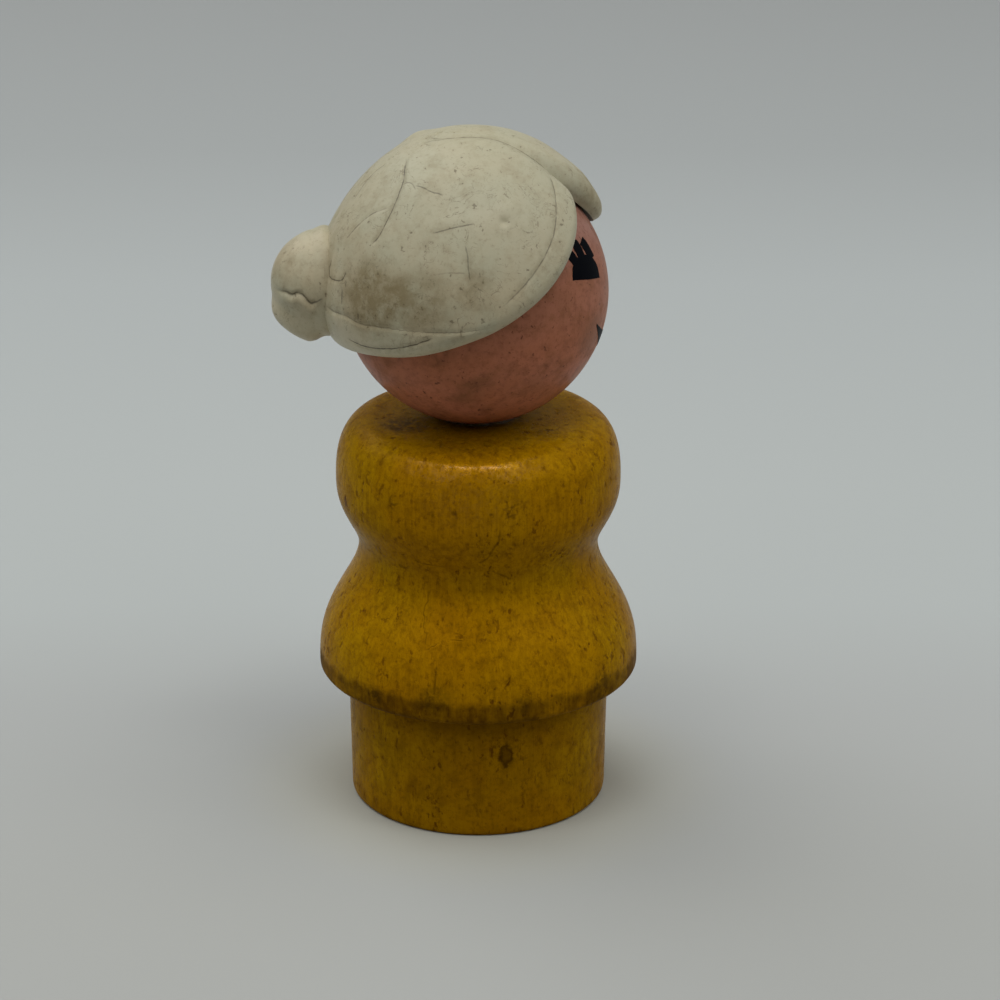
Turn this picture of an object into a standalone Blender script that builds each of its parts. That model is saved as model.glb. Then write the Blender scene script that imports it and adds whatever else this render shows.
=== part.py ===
"""Turned wooden toy figure with a ball head that swivels on a drive pin.

Four pieces: a turned and painted body, a turned and painted ball head, a moulded
hair cap with its bun, and the headed pin that holds the head down on the body.
Metres and degrees, +Z up. The origin is the centre of the underside, the face
looks along -Y and the figure's left is +X.
"""
import math

import bmesh
import bpy
from mathutils import Vector

# Running and seating clearance between neighbouring pieces
SEAT_GAP = 0.0003

# Body, turned from one piece of wood
BASE_RADIUS = 0.0111
BASE_EDGE = 0.0004
BASE_TOP_RADIUS = 0.0113
HEM_HEIGHT = 0.0112
HEM_RADIUS = 0.0137
HEM_EDGE_HEIGHT = 0.0010
WAIST_RADIUS = 0.0102
WAIST_HEIGHT = 0.0229
CHEST_RADIUS = 0.0122
CHEST_HEIGHT = 0.0294
SHOULDER_HEIGHT = 0.0346
SHOULDER_FLAT_RADIUS = 0.0073
WAIST_CURVE_SKEW = 1.26
DISH_DEPTH = 0.0005
BODY_SEGMENTS = 52

# Head, a turned ball that sits a little behind the body's axis
HEAD_RADIUS = 0.01125
HEAD_SETBACK = 0.00028
HEAD_SEGMENTS = 44

# Drive pin, from the top of the head down into the body
PIN_RADIUS = 0.0010
PIN_HEAD_RADIUS = 0.0022
PIN_HEAD_THICKNESS = 0.0008
PIN_HEAD_RECESS = 0.0007
PIN_DEPTH_IN_BODY = 0.0120
PIN_POINT_LENGTH = 0.0016
PIN_SEGMENTS = 20

# Hair cap, moulded vinyl: wall thicknesses over the clearance to the head
CROWN_WALL = 0.0025
SIDE_WALL = 0.0019
FRINGE_WALL = 0.0019
NAPE_WALL = 0.0012
LIP_WALL = 0.0005
RIM_ROLL = 0.0014
RIM_BAND_WIDTH = 0.0021
RIM_GROOVE_DEPTH = 0.00022
RIM_GROOVE_WIDTH = 0.00035
PARTING_DEPTH = 0.00075
PARTING_WIDTH = 0.00062

# The whorl, where the strands meet behind the crown, and the hairline, as degrees
# turned from the face toward the figure's left and degrees of latitude on the head
WHORL_TURN = 180.0
WHORL_LATITUDE = 78.0
PARTING_TURN = -26.0
RIGHT_HAIRLINE = (
    (-26.0, 43.5), (-48.0, 28.0), (-71.0, 11.0), (-91.0, 0.0),
    (-115.0, -9.0), (-143.0, -14.0), (-180.0, -20.0))
LEFT_HAIRLINE = (
    (-26.0, 43.5), (-10.0, 33.0), (8.0, 27.0), (35.0, 20.5), (65.0, 11.0),
    (91.0, 0.0), (115.0, -9.0), (143.0, -14.0), (180.0, -20.0))
HAIR_COLUMN_STEP = 6.0
PARTING_COLUMN_OFFSETS = (2.0, 4.2, 7.5)
HAIR_CROWN_ROWS = 11
HAIR_LINING_ROWS = 5

# Bun, moulded in one with the cap, with a raised collar round its root
BUN_RADIUS = 0.0048
BUN_CENTRE_BACK = 0.0126
BUN_RISE = 0.0009
BUN_LOWER_SWELL = 0.00045
BUN_FOLD_DEPTH = 0.00040
BUN_FOLD_WIDTH = 0.00045
BUN_FOLD_DROP = 0.0004
BUN_FOLD_WAVE = 0.0003
COLLAR_PROUD = 0.00025
COLLAR_WIDTH = 0.0009
BUN_SEGMENTS = 32
BUN_DOME_RINGS = 9

# Where the pieces stand
HEAD_CENTRE_Z = SHOULDER_HEIGHT - DISH_DEPTH + SEAT_GAP + HEAD_RADIUS
HEAD_CENTRE = Vector((0.0, HEAD_SETBACK, HEAD_CENTRE_Z))
SEAT_RADIUS = HEAD_RADIUS + SEAT_GAP
PIN_SEAT_Z = HEAD_CENTRE_Z + HEAD_RADIUS - PIN_HEAD_RECESS - PIN_HEAD_THICKNESS - SEAT_GAP
PIN_TIP_Z = SHOULDER_HEIGHT - DISH_DEPTH - PIN_DEPTH_IN_BODY
BORE_RADIUS = PIN_RADIUS + SEAT_GAP


def clear_scene():
    """Remove whatever the file opened with."""
    for old in list(bpy.data.objects):
        bpy.data.objects.remove(old, do_unlink=True)


def painted(name, colour, roughness, metallic=0.0):
    """A Principled material with one colour, as sRGB values from 0 to 1."""
    material = bpy.data.materials.new(name)
    material.use_nodes = True
    shader = material.node_tree.nodes["Principled BSDF"]
    linear = [((c + 0.055) / 1.055) ** 2.4 for c in colour]
    shader.inputs["Base Color"].default_value = (*linear, 1.0)
    shader.inputs["Roughness"].default_value = roughness
    shader.inputs["Metallic"].default_value = metallic
    return material


def finish_mesh(name, bm, material):
    """Turn a bmesh into a named object with smooth sides and sharp corners."""
    bmesh.ops.recalc_face_normals(bm, faces=bm.faces)
    mesh = bpy.data.meshes.new(name)
    bm.to_mesh(mesh)
    bm.free()
    mesh.shade_smooth()
    mesh.set_sharp_from_angle(angle=math.radians(40))
    obj = bpy.data.objects.new(name, mesh)
    bpy.context.scene.collection.objects.link(obj)
    if material:
        obj.data.materials.append(material)
    return obj


def as_tool(obj):
    """Mark an object as a shape that only cuts or joins another."""
    obj.hide_render = True
    obj.display_type = "WIRE"
    return obj


def combine(obj, tool, operation):
    """Cut or join one object with another through a Boolean modifier."""
    modifier = obj.modifiers.new(tool.name, "BOOLEAN")
    modifier.object = tool
    modifier.operation = operation
    modifier.solver = "EXACT"


def turned(name, profile, segments, material=None):
    """Spin a profile of (radius, height) points, closed on the Z axis at both ends."""
    bm = bmesh.new()
    points = [bm.verts.new((radius, 0.0, height)) for radius, height in profile]
    edges = [bm.edges.new(pair) for pair in zip(points, points[1:])]
    bmesh.ops.spin(
        bm, geom=points + edges, cent=(0, 0, 0), axis=(0, 0, 1),
        angle=2 * math.pi, steps=segments, use_merge=True)
    bmesh.ops.remove_doubles(bm, verts=bm.verts, dist=1e-7)
    return finish_mesh(name, bm, material)


def lofted(name, first_pole, rings, last_pole, material=None):
    """Skin closed rings of equal count in order, with a fan to a pole at each end."""
    bm = bmesh.new()
    loops = [[bm.verts.new(point) for point in ring] for ring in rings]
    for lower, upper in zip(loops, loops[1:]):
        for k in range(len(lower)):
            n = (k + 1) % len(lower)
            bm.faces.new((lower[k], lower[n], upper[n], upper[k]))
    for pole, loop in ((first_pole, loops[0]), (last_pole, loops[-1])):
        tip = bm.verts.new(pole)
        for k in range(len(loop)):
            bm.faces.new((tip, loop[k], loop[(k + 1) % len(loop)]))
    return finish_mesh(name, bm, material)


def elliptic_arc(start, end, steps, rises_first):
    """Points of a quarter ellipse after start and up to end, in (radius, height)."""
    points = []
    for step in range(1, steps + 1):
        angle = math.pi / 2 * step / steps
        near, far = math.sin(angle), 1 - math.cos(angle)
        across, up = (far, near) if rises_first else (near, far)
        points.append((
            start[0] + (end[0] - start[0]) * across,
            start[1] + (end[1] - start[1]) * up))
    return points


def eased(start, end, steps, skew):
    """Points after start and up to end whose radius eases level into both of them."""
    points = []
    for step in range(1, steps + 1):
        share = step / steps
        ease = 0.5 - 0.5 * math.cos(math.pi * share ** skew)
        points.append((
            start[0] + (end[0] - start[0]) * ease,
            start[1] + (end[1] - start[1]) * share))
    return points


def sphere_height(radius, sphere_radius):
    """Height of a sphere over its own centre, at a radius from its vertical axis."""
    return math.sqrt(sphere_radius ** 2 - radius ** 2)


def body_profile():
    """Outline of the body from the middle of its underside to the foot of the bore."""
    hem = (HEM_RADIUS, HEM_HEIGHT + HEM_EDGE_HEIGHT)
    waist = (WAIST_RADIUS, WAIST_HEIGHT)
    chest = (CHEST_RADIUS, CHEST_HEIGHT)
    shoulder = (SHOULDER_FLAT_RADIUS, SHOULDER_HEIGHT)
    profile = [(0.0, 0.0), (BASE_RADIUS - BASE_EDGE, 0.0)]
    profile += elliptic_arc(profile[-1], (BASE_RADIUS, BASE_EDGE), 2, False)
    profile += [(BASE_TOP_RADIUS, HEM_HEIGHT)]
    profile += elliptic_arc(profile[-1], hem, 4, False)
    profile += eased(hem, waist, 8, WAIST_CURVE_SKEW)
    rising = eased(chest, waist, 6, WAIST_CURVE_SKEW)
    profile += rising[-2::-1] + [chest]
    profile += elliptic_arc(chest, shoulder, 6, True)
    rim_drop = HEAD_CENTRE_Z - SHOULDER_HEIGHT
    dish_rim = math.sqrt(SEAT_RADIUS ** 2 - rim_drop ** 2)
    for step in range(4):
        radius = dish_rim + (BORE_RADIUS - dish_rim) * step / 3
        profile.append((radius, HEAD_CENTRE_Z - sphere_height(radius, SEAT_RADIUS)))
    bore_foot = PIN_TIP_Z - SEAT_GAP
    profile += [(BORE_RADIUS, bore_foot), (0.0, bore_foot)]
    return profile


def make_body(material):
    """The body, with the shallow dish and the blind bore that take head and pin."""
    return turned("body", body_profile(), BODY_SEGMENTS, material)


def make_head(material):
    """The ball, with a bore for the pin and a recess for the pin's head."""
    steps = HEAD_SEGMENTS // 2
    profile = []
    for step in range(steps + 1):
        angle = math.pi * step / steps
        radius = HEAD_RADIUS * math.sin(angle)
        profile.append((radius, -HEAD_RADIUS * math.cos(angle)))
    profile[0] = (0.0, -HEAD_RADIUS)
    profile[-1] = (0.0, HEAD_RADIUS)
    head = turned("head", profile, HEAD_SEGMENTS, material)
    for vertex in head.data.vertices:
        vertex.co += HEAD_CENTRE
    below = HEAD_CENTRE_Z - 2 * HEAD_RADIUS
    above = HEAD_CENTRE_Z + 2 * HEAD_RADIUS
    recess_radius = PIN_HEAD_RADIUS + SEAT_GAP
    passage = turned("pin_passage", [
        (0.0, below), (BORE_RADIUS, below), (BORE_RADIUS, PIN_SEAT_Z),
        (recess_radius, PIN_SEAT_Z), (recess_radius, above), (0.0, above)], PIN_SEGMENTS)
    combine(head, as_tool(passage), "DIFFERENCE")
    return head


def make_pin(material):
    """The headed pin, pointed at its foot and domed on its head."""
    under_head = PIN_SEAT_Z + SEAT_GAP
    rim = (PIN_HEAD_RADIUS, under_head + PIN_HEAD_THICKNESS / 2)
    top = (0.0, under_head + PIN_HEAD_THICKNESS)
    profile = [(0.0, PIN_TIP_Z), (PIN_RADIUS, PIN_TIP_Z + PIN_POINT_LENGTH)]
    profile += [(PIN_RADIUS, under_head), (PIN_HEAD_RADIUS, under_head), rim]
    profile += elliptic_arc(rim, top, 4, True)
    return turned("neck_pin", profile, PIN_SEGMENTS, material)


def head_direction(turn, latitude):
    """Unit vector from the head's centre, for degrees turned and degrees of latitude."""
    around, up = math.radians(turn), math.radians(latitude)
    return Vector((
        math.sin(around) * math.cos(up), -math.cos(around) * math.cos(up), math.sin(up)))


def smooth(share):
    """Ease from 0 to 1, held outside that range."""
    share = min(max(share, 0.0), 1.0)
    return share * share * (3 - 2 * share)


def through_points(points, x):
    """Height at x of a smooth curve through points whose x rises or falls steadily."""
    if points[0][0] > points[-1][0]:
        points = points[::-1]
    last = len(points) - 1
    k = max(0, min(last - 1, sum(1 for point in points if point[0] <= x) - 1))
    before, after = points[max(k - 1, 0)], points[min(k + 2, last)]
    (x0, y0), (x1, y1) = points[k], points[k + 1]
    span = x1 - x0
    t = (x - x0) / span
    slope0 = (y1 - before[1]) / (x1 - before[0]) * span
    slope1 = (after[1] - y0) / (after[0] - x0) * span
    return (
        (2 * t ** 3 - 3 * t ** 2 + 1) * y0 + (t ** 3 - 2 * t ** 2 + t) * slope0
        + (3 * t ** 2 - 2 * t ** 3) * y1 + (t ** 3 - t ** 2) * slope1)


def hairline(turn):
    """Direction of the cap's edge at a turn, from the parting round either way."""
    side = RIGHT_HAIRLINE if turn <= PARTING_TURN else LEFT_HAIRLINE
    return head_direction(turn, through_points(side, turn))


def hair_turns():
    """Turns of the columns, close together beside the parting and even elsewhere."""
    offsets = [0.0]
    for offset in PARTING_COLUMN_OFFSETS:
        offsets += [-offset, offset]
    turns = [PARTING_TURN + offset for offset in offsets]
    edge = PARTING_COLUMN_OFFSETS[-1]
    for start, end in (
            (PARTING_TURN + edge, 180.0), (-180.0, PARTING_TURN - edge)):
        count = round((end - start) / HAIR_COLUMN_STEP)
        turns += [start + (end - start) * k / count for k in range(1, count)]
    turns.append(180.0)
    return sorted(turns)


def along_arc(start, end, share):
    """Direction a share of the way along the great circle between two directions."""
    angle = start.angle(end)
    return (
        start * math.sin((1 - share) * angle) + end * math.sin(share * angle)
    ) / math.sin(angle)


def parting_distance(direction, whorl, front):
    """Distance from the parting, on a sphere the size of the seat, and where along it."""
    across = whorl.cross(front).normalized()
    along = direction.dot(across.cross(whorl).normalized())
    return SEAT_RADIUS * direction.dot(across), along


def hair_wall(direction, edge, whorl, front):
    """Wall thickness in a direction, at a distance from the cap's edge."""
    latitude = math.degrees(math.asin(direction.z))
    wall = SIDE_WALL + (CROWN_WALL - SIDE_WALL) * smooth((latitude - 30) / 60)
    forward = smooth((-direction.y - 0.2) / 0.6) * smooth((direction.x + 0.35) / 0.3)
    wall += (FRINGE_WALL - SIDE_WALL) * forward
    wall += (NAPE_WALL - SIDE_WALL) * smooth(direction.y - 0.1) * smooth(-latitude / 16)
    across, along = parting_distance(direction, whorl, front)
    depth = PARTING_DEPTH * smooth((along + 0.25) / 0.45)
    wall -= depth * math.exp(-(across / PARTING_WIDTH) ** 2)
    wall -= RIM_GROOVE_DEPTH * (1 - forward) * math.exp(
        -((edge - RIM_BAND_WIDTH) / RIM_GROOVE_WIDTH) ** 2)
    inward = 1 - min(edge / RIM_ROLL, 1.0)
    return LIP_WALL + (wall - LIP_WALL) * math.sqrt(1 - inward ** 2)


def hair_ring(edge_distance, share, outside):
    """One ring of the cap: a share of the way out, or a distance from the edge."""
    whorl = head_direction(WHORL_TURN, WHORL_LATITUDE)
    front = hairline(PARTING_TURN)
    ring = []
    for turn in hair_turns():
        end = hairline(turn)
        length = whorl.angle(end) * SEAT_RADIUS
        band = RIM_BAND_WIDTH + 3 * RIM_GROOVE_WIDTH
        edge = band + (length - band) * (1 - share) if edge_distance is None else edge_distance
        direction = along_arc(whorl, end, 1 - edge / length)
        reach = SEAT_RADIUS
        if outside:
            reach += hair_wall(direction, edge, whorl, front)
        ring.append(HEAD_CENTRE + direction * reach)
    return ring


def make_hair(material):
    """The cap from the whorl out over the rim and back inside, joined to the bun."""
    whorl = head_direction(WHORL_TURN, WHORL_LATITUDE)
    front = hairline(PARTING_TURN)
    far_from_edge = 2 * HEAD_RADIUS
    crown = HEAD_CENTRE + whorl * (
        SEAT_RADIUS + hair_wall(whorl, far_from_edge, whorl, front))
    rings = []
    for row in range(1, HAIR_CROWN_ROWS + 1):
        rings.append(hair_ring(None, row / HAIR_CROWN_ROWS, True))
    groove = RIM_BAND_WIDTH
    for edge in (
            groove + RIM_GROOVE_WIDTH, groove, groove - RIM_GROOVE_WIDTH,
            RIM_ROLL * 0.85, RIM_ROLL * 0.5, RIM_ROLL * 0.2, RIM_ROLL * 0.04, 0.0):
        rings.append(hair_ring(edge, 0.0, True))
    rings.append(hair_ring(0.0, 0.0, False))
    for row in range(HAIR_LINING_ROWS, 0, -1):
        rings.append(hair_ring(None, row / HAIR_LINING_ROWS, False))
    lining = HEAD_CENTRE + whorl * SEAT_RADIUS
    hair = lofted("hair", crown, rings, lining, material)
    combine(hair, as_tool(make_bun()), "UNION")
    return hair


def bun_swell(point):
    """Radial change of the bun at a point: its fuller lower lobe and the fold above it."""
    wave = BUN_FOLD_WAVE * math.sin(point.y / BUN_RADIUS * 9)
    height = point.z + BUN_FOLD_DROP + wave
    lobe = BUN_LOWER_SWELL * smooth(-height / (0.4 * BUN_RADIUS))
    fold = BUN_FOLD_DEPTH * math.exp(-(height / BUN_FOLD_WIDTH) ** 2)
    behind_collar = smooth(point.y / BUN_RADIUS * 4 - 0.5)
    beside_tip = smooth((1 - point.y / BUN_RADIUS) * 4)
    return behind_collar * (lobe - fold * beside_tip)


def make_bun():
    """The bun: a root inside the cap's wall, a collar, and a folded dome behind it."""
    centre = HEAD_CENTRE + Vector((0.0, 0.0, BUN_RISE))
    root_radius = SEAT_RADIUS + SIDE_WALL * 0.4
    collar_radius = BUN_RADIUS + COLLAR_PROUD
    profile = []
    for step in range(1, 4):
        radius = collar_radius * step / 3
        profile.append((radius, math.sqrt(root_radius ** 2 - radius ** 2)))
    profile.append((collar_radius, BUN_CENTRE_BACK + COLLAR_WIDTH / 3))
    start = math.asin(COLLAR_WIDTH * 2 / 3 / BUN_RADIUS)
    profile.append((
        BUN_RADIUS * math.cos(start), BUN_CENTRE_BACK + BUN_RADIUS * math.sin(start)))
    for step in range(1, BUN_DOME_RINGS + 1):
        angle = start + (math.pi / 2 - start) * step / (BUN_DOME_RINGS + 1)
        profile.append((
            BUN_RADIUS * math.cos(angle), BUN_CENTRE_BACK + BUN_RADIUS * math.sin(angle)))
    rings = []
    for radius, back in profile:
        ring = []
        for k in range(BUN_SEGMENTS):
            angle = 2 * math.pi * k / BUN_SEGMENTS
            local = Vector((
                radius * math.cos(angle), back - BUN_CENTRE_BACK, radius * math.sin(angle)))
            local += local.normalized() * bun_swell(local)
            ring.append(centre + local + Vector((0.0, BUN_CENTRE_BACK, 0.0)))
        rings.append(ring)
    root = centre + Vector((0.0, root_radius, 0.0))
    tip = centre + Vector((0.0, BUN_CENTRE_BACK + BUN_RADIUS, 0.0))
    return lofted("bun", root, rings, tip)


def build():
    """Make the four pieces and hang the head and hair on the swivel's axis."""
    clear_scene()
    make_body(painted("body_paint", (0.47, 0.34, 0.03), 0.45))
    make_pin(painted("pin_steel", (0.60, 0.60, 0.60), 0.35, 1.0))
    head = make_head(painted("face_paint", (0.44, 0.30, 0.23), 0.50))
    hair = make_hair(painted("hair_vinyl", (0.62, 0.59, 0.50), 0.45))
    swivel = bpy.data.objects.new("head_swivel", None)
    bpy.context.scene.collection.objects.link(swivel)
    head.parent = swivel
    hair.parent = swivel


build()
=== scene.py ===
"""Looks of the turned wooden toy figure: worn paint, moulded hair and a painted face.

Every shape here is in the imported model's frame: metres, +Z up, the face along -Y and
the figure's left toward +X. Sizes are written in millimetres and made metres by MM.
"""
import math

import bmesh
import bpy
import numpy as np
from mathutils import Matrix, Vector, noise


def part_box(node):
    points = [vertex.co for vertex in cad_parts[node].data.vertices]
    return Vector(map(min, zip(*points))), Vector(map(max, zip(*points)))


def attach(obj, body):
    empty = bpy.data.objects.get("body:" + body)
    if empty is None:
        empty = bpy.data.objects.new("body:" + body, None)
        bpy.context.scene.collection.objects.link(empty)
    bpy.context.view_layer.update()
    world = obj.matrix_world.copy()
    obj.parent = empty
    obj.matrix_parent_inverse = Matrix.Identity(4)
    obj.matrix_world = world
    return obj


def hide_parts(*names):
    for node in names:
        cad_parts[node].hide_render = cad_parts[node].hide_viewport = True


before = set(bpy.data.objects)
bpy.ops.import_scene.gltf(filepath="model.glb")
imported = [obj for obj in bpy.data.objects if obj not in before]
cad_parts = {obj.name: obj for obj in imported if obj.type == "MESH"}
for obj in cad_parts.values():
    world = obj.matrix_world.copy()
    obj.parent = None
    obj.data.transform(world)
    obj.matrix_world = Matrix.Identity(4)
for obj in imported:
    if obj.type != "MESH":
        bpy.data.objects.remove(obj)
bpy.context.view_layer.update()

MM = 0.001

# The camera that the photograph was taken with, as far as its outlines tell
CAMERA_DISTANCE = 299.2 * MM
CAMERA_HEIGHT = 144.4 * MM
CAMERA_PITCH = 21.48
CAMERA_FOCAL_PIXELS = 3739.4
CAMERA_AXIS_OFFSET_PIXELS = 23.3
CAMERA_ROLL = 0.12
IMAGE_PIXELS = 1000
SENSOR_MM = 36.0
CAMERA_SEES_FROM_TO = (0.01, 20.0)
FACE_TURNED_AWAY = 3.0

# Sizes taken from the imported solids
BODY_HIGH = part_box("body")[1]
HEAD_LOW, HEAD_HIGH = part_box("head")
BALL_RADIUS = (HEAD_HIGH.x - HEAD_LOW.x) / 2
WIDEST = max(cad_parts["head"].data.vertices, key=lambda vertex: vertex.co.x)
BALL_CENTRE = Vector((0.0, (HEAD_HIGH.y + HEAD_LOW.y) / 2, WIDEST.co.z))
SEAT_GAP = 0.3 * MM
# The same in millimetres: the ball's centre and the radius of the hair's inside
HEAD_MIDDLE = np.array(BALL_CENTRE) / MM
HAIR_SEAT = (BALL_RADIUS + SEAT_GAP) / MM

MERGE_DISTANCE = 1e-6
SHARP_ANGLE = math.radians(50)


# Small tools for meshes

def add_mesh(name, vertices, faces):
    """A linked object from points and faces, smooth all over."""
    mesh = bpy.data.meshes.new(name)
    mesh.from_pydata([tuple(point) for point in vertices], [], faces)
    mesh.validate()
    mesh.shade_smooth()
    obj = bpy.data.objects.new(name, mesh)
    bpy.context.scene.collection.objects.link(obj)
    return obj


def face_outward(obj, merge=0.0):
    """Merge doubles if asked, then point every face outward."""
    bm = bmesh.new()
    bm.from_mesh(obj.data)
    if merge:
        bmesh.ops.remove_doubles(bm, verts=bm.verts, dist=merge)
    bmesh.ops.recalc_face_normals(bm, faces=bm.faces)
    bm.to_mesh(obj.data)
    bm.free()


def apply_modifiers(obj):
    """Replace an object's mesh by what its modifiers make of it."""
    bpy.context.view_layer.update()
    seen = obj.evaluated_get(bpy.context.evaluated_depsgraph_get())
    mesh = bpy.data.meshes.new_from_object(seen)
    obj.modifiers.clear()
    old, obj.data = obj.data, mesh
    bpy.data.meshes.remove(old)


def dress(obj, body, nodes, material=None):
    """Give a finished piece its material and its body, and hide the imported nodes that it stands
    for.
    """
    if material:
        obj.data.materials.clear()
        obj.data.materials.append(material)
    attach(obj, body)
    if nodes:
        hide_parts(*nodes)


# Shader maths

class Link:
    """A socket's value that can be used in Python arithmetic."""

    def __init__(self, finish, socket):
        self.finish = finish
        self.socket = socket

    def math(self, operation, *others, first=None):
        values = [self if first is None else first, *others]
        if first is not None:
            values.append(self)
        return self.finish.make(
            "Math", {"operation": operation}, dict(enumerate(values)))

    def __add__(self, other):
        return self.math("ADD", other)

    def __radd__(self, other):
        return self.math("ADD", other)

    def __sub__(self, other):
        return self.math("SUBTRACT", other)

    def __rsub__(self, other):
        return self.math("SUBTRACT", first=other)

    def __mul__(self, other):
        return self.math("MULTIPLY", other)

    def __rmul__(self, other):
        return self.math("MULTIPLY", other)

    def size(self):
        return self.math("ABSOLUTE")

    def least(self, other):
        return self.math("MINIMUM", other)

    def most(self, other):
        return self.math("MAXIMUM", other)


class Finish:
    """A material, its nodes, which make() adds, and the colour that lay() builds up."""

    def __init__(self, name, **constants):
        self.colour = None
        self.material = bpy.data.materials.new(name)
        self.material.use_nodes = True
        self.nodes = self.material.node_tree.nodes
        self.shader = self.nodes["Principled BSDF"]
        for name_of_socket, value in constants.items():
            self.shader.inputs[name_of_socket.replace("_", " ")].default_value = value
        where = self.make("TexCoord", output="Object")
        self.place = self.make(
            "VectorMath", {"operation": "SCALE"}, {0: where, "Scale": 1 / MM})
        self.x, self.y, self.z = self.split(self.place)

    def make(self, kind, settings=None, inputs=None, output=0):
        """A node of a type, its settings first, then the values or links of its sockets."""
        node = self.nodes.new("ShaderNode" + kind)
        for key, value in (settings or {}).items():
            if key == "stops":
                self.set_stops(node.color_ramp, value)
            else:
                setattr(node, key, value)
        for key, value in (inputs or {}).items():
            self.feed(node.inputs[key], value)
        return Link(self, node.outputs[output])

    def feed(self, socket, value):
        """Link a socket, or set its value."""
        if isinstance(value, Link):
            self.material.node_tree.links.new(value.socket, socket)
        else:
            socket.default_value = value

    def set_stops(self, ramp, stops):
        """Give a ramp its stops of (position, colour)."""
        while len(ramp.elements) < len(stops):
            ramp.elements.new(1.0)
        for element, (position, colour) in zip(ramp.elements, stops):
            element.position = position
            element.color = colour

    def split(self, vector):
        """The three parts of a vector."""
        node = self.make("SeparateXYZ", None, {0: vector}).socket.node
        return [Link(self, node.outputs[k]) for k in range(3)]

    def stretched(self, x, y, z):
        """The place on the piece in millimetres, times three factors."""
        return self.make(
            "VectorMath", {"operation": "MULTIPLY"}, {0: self.place, 1: (x, y, z)})

    def cloud(self, scale, detail=3.0, roughness=0.55, place=None, distortion=0.0):
        """Soft noise from 0 to 1; scale is in cycles a millimetre."""
        return self.make("TexNoise", None, {
            "Vector": place or self.place, "Scale": scale, "Detail": detail,
            "Roughness": roughness, "Distortion": distortion})

    def between(self, value, low, high, soft=True):
        """Where a value goes from low to high, as 0 to 1."""
        settings = {"interpolation_type": "SMOOTHSTEP" if soft else "LINEAR"}
        return self.make("MapRange", settings, {
            "Value": value, "From Min": low, "From Max": high})

    def patches(self, low, high, *cloud):
        """Patches where a cloud, given its own values, goes from low to high."""
        return self.between(self.cloud(*cloud), low, high)

    def blend(self, factor, below, above):
        """One colour over another by a factor."""
        return self.make(
            "Mix", {"data_type": "RGBA"}, {0: factor, 6: below, 7: above}, output=2)

    def lay(self, share, red, green, blue):
        """Lay a colour that srgb() makes over the colour so far, by a share."""
        self.colour = self.blend(share, self.colour, srgb(red, green, blue))

    def speck(self, x, y, z, size):
        """A soft spot of a size round a point, in millimetres."""
        far = self.make(
            "VectorMath", {"operation": "DISTANCE"}, {0: self.place, 1: (x, y, z)},
            output="Value")
        return self.between(far, size, 0.35 * size)

    def stains(self, rows):
        """Soft spots added up, from rows of a place, a size and a strength."""
        total = 0.0
        for place, size, strength in rows:
            total = self.speck(*place, size) * strength + total
        return total

    def marked(self, name):
        """Where the thin lines that store_marks keeps on a mesh mark its surface."""
        beside = self.make(
            "Attribute", {"attribute_name": name + "_beside"}, output="Fac")
        held = self.make("Attribute", {"attribute_name": name + "_held"}, output="Fac")
        waver = self.cloud(2.2, 3.0) * 1.8 - 0.9
        broken = self.between(self.cloud(1.4, 3.0), 0.30, 0.52)
        line = self.between((beside + waver).size(), 1.1, 0.3)
        return line * held * (0.4 + broken * 0.6)

    def raise_by(self, height, distance, strength):
        """A bump of a height pattern, its full height in millimetres, and its strength."""
        return self.make("Bump", None, {
            "Height": height, "Distance": distance * MM, "Strength": strength})

    def show(self, **values):
        """Link values to the shader's sockets by name."""
        for name, value in values.items():
            self.feed(self.shader.inputs[name.replace("_", " ")], value)
        return self.material


def srgb(red, green, blue):
    """A linear colour from the 0 to 255 values that it should show."""
    return tuple(
        (c / 255 / 12.92 if c <= 10 else ((c / 255 + 0.055) / 1.055) ** 2.4)
        for c in (red, green, blue)) + (1.0,)


# Lines drawn on surfaces

def smooth(share):
    """Ease from 0 to 1, held outside that range."""
    share = np.clip(share, 0.0, 1.0)
    return share * share * (3 - 2 * share)


def through_points(points, x):
    """Heights at x of a smooth curve through points in order of x."""
    points = np.array(sorted(points), float)
    k = np.clip(np.searchsorted(points[:, 0], x) - 1, 0, len(points) - 2)
    before = points[np.maximum(k - 1, 0)]
    after = points[np.minimum(k + 2, len(points) - 1)]
    (x0, y0), (x1, y1) = points[k].T, points[k + 1].T
    span = x1 - x0
    t = (x - x0) / span
    slope0 = (y1 - before[:, 1]) / (x1 - before[:, 0]) * span
    slope1 = (after[:, 1] - y0) / (after[:, 0] - x0) * span
    return (
        (2 * t ** 3 - 3 * t ** 2 + 1) * y0 + (t ** 3 - 2 * t ** 2 + t) * slope0
        + (3 * t ** 2 - 2 * t ** 3) * y1 + (t ** 3 - t ** 2) * slope1)


def curved(points, parts=3):
    """Points of a smooth curve through points, some parts between each two."""
    steps = np.linspace(0, len(points) - 1, (len(points) - 1) * parts + 1)
    return np.stack([
        through_points(list(enumerate(column)), steps) for column in zip(*points)], axis=-1)


def beside_line(points, outward, line):
    """Distance beside a line, positive on its left seen from outside, and how far along."""
    nearest = np.full(len(points), np.inf)
    side, along = np.zeros(len(points)), np.zeros(len(points))
    count = len(line) - 1
    for k in range(count):
        start, step = line[k], line[k + 1] - line[k]
        offset = points - start
        share = np.clip(offset @ step / (step @ step), 0, 1)
        far = np.linalg.norm(offset - share[:, None] * step, axis=1)
        left = (np.cross(step, offset) * outward).sum(axis=1)
        nearer = far < nearest
        nearest[nearer] = far[nearer]
        side[nearer] = (np.where(left < 0, -1.0, 1.0) * far)[nearer]
        along[nearer] = (k + share[nearer]) / count
    return side, along


def ends_faded(along):
    """1 along a line, easing to 0 at both ends."""
    return smooth(along / 0.12) * smooth((1 - along) / 0.12)


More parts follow.
